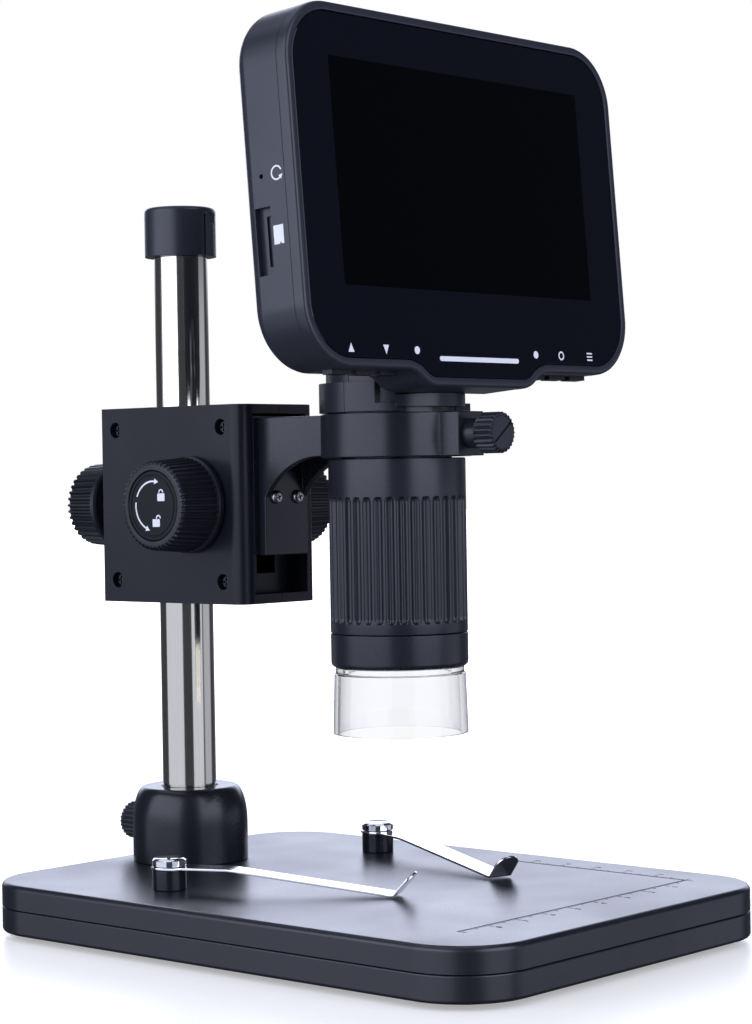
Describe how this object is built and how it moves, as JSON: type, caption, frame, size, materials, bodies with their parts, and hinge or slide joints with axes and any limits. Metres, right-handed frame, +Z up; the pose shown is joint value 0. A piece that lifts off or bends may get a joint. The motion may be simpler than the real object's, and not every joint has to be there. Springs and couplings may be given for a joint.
{
  "type": "lcd digital microscope",
  "caption": "Desk digital microscope: camera barrel with a leaning screen in a clamp ring, on a rack-and-pinion arm that slides on a steel column over a flat base with stage clips.",
  "frame": {"origin": "on the table, under the middle of the object's box", "axes": "+Z up, +Y away from the user towards the column, +X to the user's right"},
  "size_m": [0.1244, 0.1856, 0.2294],
  "materials": {
    "black_plastic": "satin moulded, fine grain",
    "base_plastic": "satin moulded, fine grain",
    "key_plastic": "satin",
    "cap_plastic": "semi-gloss",
    "black_metal": "satin black",
    "rubber": "matt",
    "steel": "polished",
    "spring_steel": "bright",
    "chrome": "polished",
    "screw_steel": "plain",
    "weight_steel": "plain",
    "brass": "turned",
    "bush_plastic": "natural",
    "board": "solder mask",
    "white_board": "white solder mask",
    "led": "clear dome",
    "chip": "plain",
    "battery_foil": "foil",
    "screen": "gloss",
    "cover_glass": "gloss, black printed from behind",
    "lens_glass": "coated",
    "clear_plastic": "clear"
  },
  "bodies": {
    "base": {"base_top": "base_plastic", "base_bottom": "base_plastic", "base_weight": "weight_steel", "rubber_feet": "rubber", "base_screws": "screw_steel", "column_collar": "black_plastic", "collar_screws": "screw_steel", "clip_posts": "black_plastic", "clip_buttons": "chrome"},
    "clip_left": {"clip_left": "spring_steel"},
    "clip_right": {"clip_right": "spring_steel"},
    "collar_thumbscrew": {"collar_thumbscrew": "black_metal"},
    "column": {"column_tube": "steel", "column_cap": "black_plastic"},
    "housing": {"housing_left": "black_plastic", "housing_right": "black_plastic", "guide_bushes": "bush_plastic", "shaft_bushes": "brass", "housing_screws": "screw_steel"},
    "clamp_knob": {"clamp_knob": "black_plastic"},
    "arm": {"slide_block": "black_plastic", "focus_rack": "bush_plastic", "ring_arm": "black_plastic", "arm_screws": "screw_steel"},
    "focus_shaft": {"focus_shaft": "steel", "focus_pinion": "brass", "focus_knob_left": "black_plastic", "focus_knob_right": "black_plastic", "knob_caps": "cap_plastic"},
    "ring_thumbscrew": {"ring_thumbscrew": "black_metal"},
    "head": {"barrel": "black_plastic", "neck_front": "black_plastic", "neck_rear": "black_plastic", "neck_screws": "screw_steel", "sensor_board": "board", "image_sensor": "chip", "nose_ring": "black_plastic", "led_board": "white_board", "leds": "led", "display_frame": "black_plastic", "display_housing": "black_plastic", "glass_panel": "cover_glass", "lcd_panel": "screen", "main_board": "board", "battery": "battery_foil", "card_socket": "screw_steel", "usb_socket": "screw_steel", "key_switches": "chip", "display_screws": "screw_steel"},
    "shroud": {"shroud": "clear_plastic"},
    "focus_ring": {"focus_ring": "black_plastic"},
    "lens_cell": {"lens_cell": "black_plastic", "lenses": "lens_glass"},
    "key_up": {"key_up": "key_plastic"},
    "key_down": {"key_down": "key_plastic"},
    "key_snap": {"key_snap": "key_plastic"},
    "key_power": {"key_power": "key_plastic"},
    "key_ok": {"key_ok": "key_plastic"},
    "key_menu": {"key_menu": "key_plastic"}
  },
  "joints": [
    {"name": "clip_left_swivel", "type": "hinge", "parent": "base", "child": "clip_left", "pos_m": [-0.0398, 0.0239, 0.0199], "axis": [0, 0, -1], "range_deg": [-8, 110]},
    {"name": "clip_right_swivel", "type": "hinge", "parent": "base", "child": "clip_right", "pos_m": [0.0398, 0.0239, 0.0199], "axis": [0, 0, 1], "range_deg": [-8, 110]},
    {"name": "collar_thumbscrew_turn", "type": "hinge", "parent": "base", "child": "collar_thumbscrew", "pos_m": [0, 0.074, 0.0235], "axis": [0, 1, 0], "range_deg": [0, 360]},
    {"name": "column_turn", "type": "hinge", "parent": "base", "child": "column", "pos_m": [0, 0.057, 0.1], "axis": [0, 0, 1], "range_deg": [-60, 60]},
    {"name": "height_slide", "type": "slide", "parent": "column", "child": "housing", "axis": [0, 0, 1], "range_m": [-0.014, 0.038]},
    {"name": "clamp_knob_turn", "type": "hinge", "parent": "housing", "child": "clamp_knob", "pos_m": [0, 0.077, 0.1115], "axis": [0, 1, 0], "range_deg": [0, 360]},
    {"name": "focus_slide", "type": "slide", "parent": "housing", "child": "arm", "axis": [0, 0, 1], "range_m": [-0.01, 0]},
    {"name": "focus_knob_turn", "type": "hinge", "parent": "housing", "child": "focus_shaft", "pos_m": [0, 0.0395, 0.1115], "axis": [1, 0, 0], "range_deg": [0, 96]},
    {"name": "ring_thumbscrew_turn", "type": "hinge", "parent": "arm", "child": "ring_thumbscrew", "pos_m": [0, -0.048, 0.1285], "axis": [0, -1, 0], "range_deg": [0, 360]},
    {"name": "head_turn", "type": "hinge", "parent": "arm", "child": "head", "pos_m": [0, -0.02, 0.1285], "axis": [0, 0, 1], "range_deg": [-75, 75]},
    {"name": "shroud_pull", "type": "slide", "parent": "head", "child": "shroud", "axis": [0, 0, -1], "range_m": [0, 0.004]},
    {"name": "focus_ring_turn", "type": "hinge", "parent": "head", "child": "focus_ring", "pos_m": [0, -0.02, 0.1], "axis": [0, 0, 1], "range_deg": [-121, 121]},
    {"name": "lens_slide", "type": "slide", "parent": "head", "child": "lens_cell", "axis": [0, 0, 1], "range_m": [-0.003, 0.003]},
    {"name": "key_up_press", "type": "slide", "parent": "head", "child": "key_up", "axis": [0, 0.0793, 0.9968], "range_m": [0, 0.0004], "stiffness_N_per_m": 400},
    {"name": "key_down_press", "type": "slide", "parent": "head", "child": "key_down", "axis": [0, 0.0793, 0.9968], "range_m": [0, 0.0004], "stiffness_N_per_m": 400},
    {"name": "key_snap_press", "type": "slide", "parent": "head", "child": "key_snap", "axis": [0, 0.0793, 0.9968], "range_m": [0, 0.0004], "stiffness_N_per_m": 400},
    {"name": "key_power_press", "type": "slide", "parent": "head", "child": "key_power", "axis": [0, 0.0793, 0.9968], "range_m": [0, 0.0004], "stiffness_N_per_m": 400},
    {"name": "key_ok_press", "type": "slide", "parent": "head", "child": "key_ok", "axis": [0, 0.0793, 0.9968], "range_m": [0, 0.0004], "stiffness_N_per_m": 400},
    {"name": "key_menu_press", "type": "slide", "parent": "head", "child": "key_menu", "axis": [0, 0.0793, 0.9968], "range_m": [0, 0.0004], "stiffness_N_per_m": 400}
  ],
  "couplings": [
    {"joint": "focus_knob_turn", "follows": "focus_slide", "rad_per_m": -166.67},
    {"joint": "focus_ring_turn", "follows": "lens_slide", "rad_per_m": 698.13}
  ]
}
